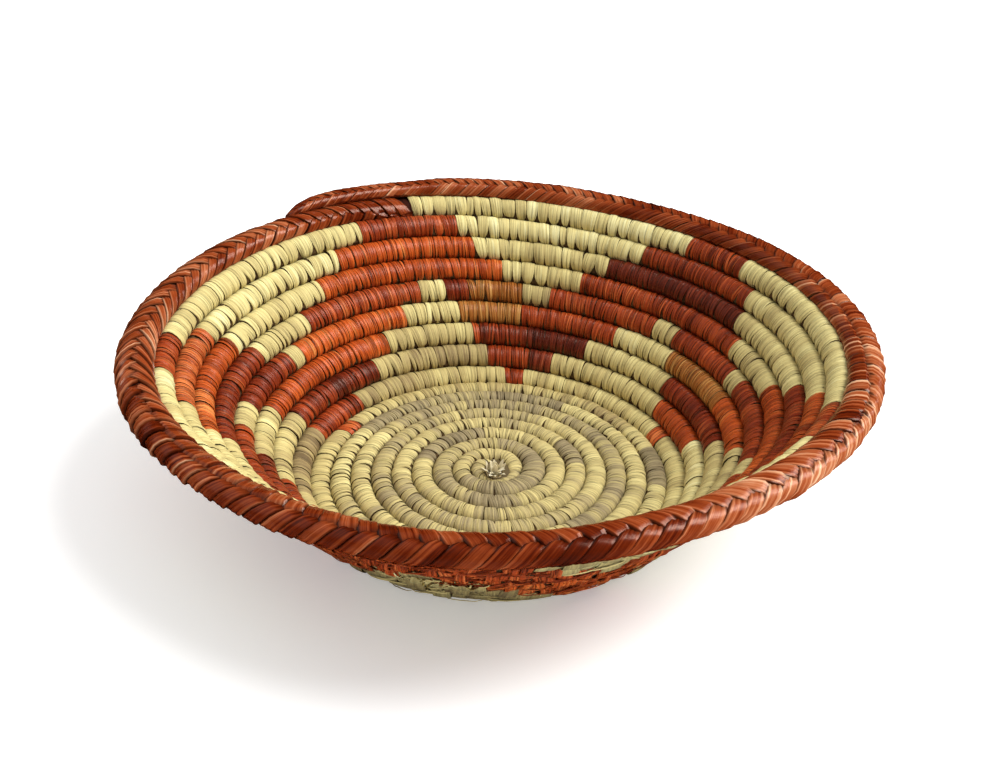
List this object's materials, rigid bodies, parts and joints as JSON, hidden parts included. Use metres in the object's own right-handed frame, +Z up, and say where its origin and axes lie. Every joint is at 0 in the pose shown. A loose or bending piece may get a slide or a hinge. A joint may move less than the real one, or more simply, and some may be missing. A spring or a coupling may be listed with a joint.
{
  "type": "coiled basket",
  "caption": "Shallow round coiled basket: a spiral of straw-wrapped grass bundle with dyed wraps in a stepped zig-zag band and a herringbone braided rim, for holding dry things.",
  "frame": {"origin": "the middle of the basket's box, on the plane that it stands on; the axis of the spiral passes 2 mm from it", "axes": "+Z up out of the open bowl; +X crosses the start of each counted turn of the spiral, which runs counter-clockwise from above"},
  "size_m": [0.292, 0.2892, 0.0765],
  "materials": {
    "straw": "dry split straw, satin",
    "dyed_rust": "dyed leaf strip, satin",
    "dyed_orange": "dyed leaf strip, satin",
    "dyed_maroon": "dyed leaf strip, satin",
    "dyed_brown": "dyed leaf strip, satin",
    "dyed_tan": "dyed leaf strip, satin",
    "braid": "plaited dyed leaf strip, glossy"
  },
  "bodies": {
    "root": {"brown_wrap_row2_5": "dyed_brown", "brown_wrap_row3_5": "dyed_brown", "brown_wrap_row7_4": "dyed_brown", "maroon_wrap_row3_4": "dyed_maroon", "maroon_wrap_row5_11": "dyed_maroon", "maroon_wrap_row5_2": "dyed_maroon", "maroon_wrap_row6_1": "dyed_maroon", "maroon_wrap_row7_3": "dyed_maroon", "maroon_wrap_row8_2": "dyed_maroon", "orange_wrap_row2_3": "dyed_orange", "orange_wrap_row2_4": "dyed_orange", "orange_wrap_row4_1": "dyed_orange", "orange_wrap_row4_3": "dyed_orange", "orange_wrap_row4_4": "dyed_orange", "orange_wrap_row5_1": "dyed_orange", "orange_wrap_row6_3": "dyed_orange", "orange_wrap_row6_5": "dyed_orange", "orange_wrap_row7_1": "dyed_orange", "orange_wrap_row7_5": "dyed_orange", "orange_wrap_row8_3": "dyed_orange", "rim_braid": "braid", "rust_wrap_row1_1": "dyed_rust", "rust_wrap_row1_2": "dyed_rust", "rust_wrap_row1_3": "dyed_rust", "rust_wrap_row1_4": "dyed_rust", "rust_wrap_row1_5": "dyed_rust", "rust_wrap_row2_1": "dyed_rust", "rust_wrap_row2_2": "dyed_rust", "rust_wrap_row2_6": "dyed_rust", "rust_wrap_row3_1": "dyed_rust", "rust_wrap_row3_2": "dyed_rust", "rust_wrap_row3_3": "dyed_rust", "rust_wrap_row3_6": "dyed_rust", "rust_wrap_row4_2": "dyed_rust", "rust_wrap_row4_6": "dyed_rust", "rust_wrap_row5_12": "dyed_rust", "rust_wrap_row5_3": "dyed_rust", "rust_wrap_row5_4": "dyed_rust", "rust_wrap_row5_5": "dyed_rust", "rust_wrap_row5_6": "dyed_rust", "rust_wrap_row5_7": "dyed_rust", "rust_wrap_row5_8": "dyed_rust", "rust_wrap_row5_9": "dyed_rust", "rust_wrap_row6_2": "dyed_rust", "rust_wrap_row6_4": "dyed_rust", "rust_wrap_row7_2": "dyed_rust", "rust_wrap_row8_1": "dyed_rust", "rust_wrap_row8_4": "dyed_rust", "rust_wrap_row8_5": "dyed_rust", "rust_wrap_row9_1": "dyed_rust", "rust_wrap_row9_2": "dyed_rust", "rust_wrap_row9_3": "dyed_rust", "rust_wrap_row9_4": "dyed_rust", "start_knot": "straw", "straw_coil": "straw", "tan_wrap_row4_5": "dyed_tan", "tan_wrap_row4_7": "dyed_tan", "tan_wrap_row5_10": "dyed_tan"}
  },
  "joints": []
}
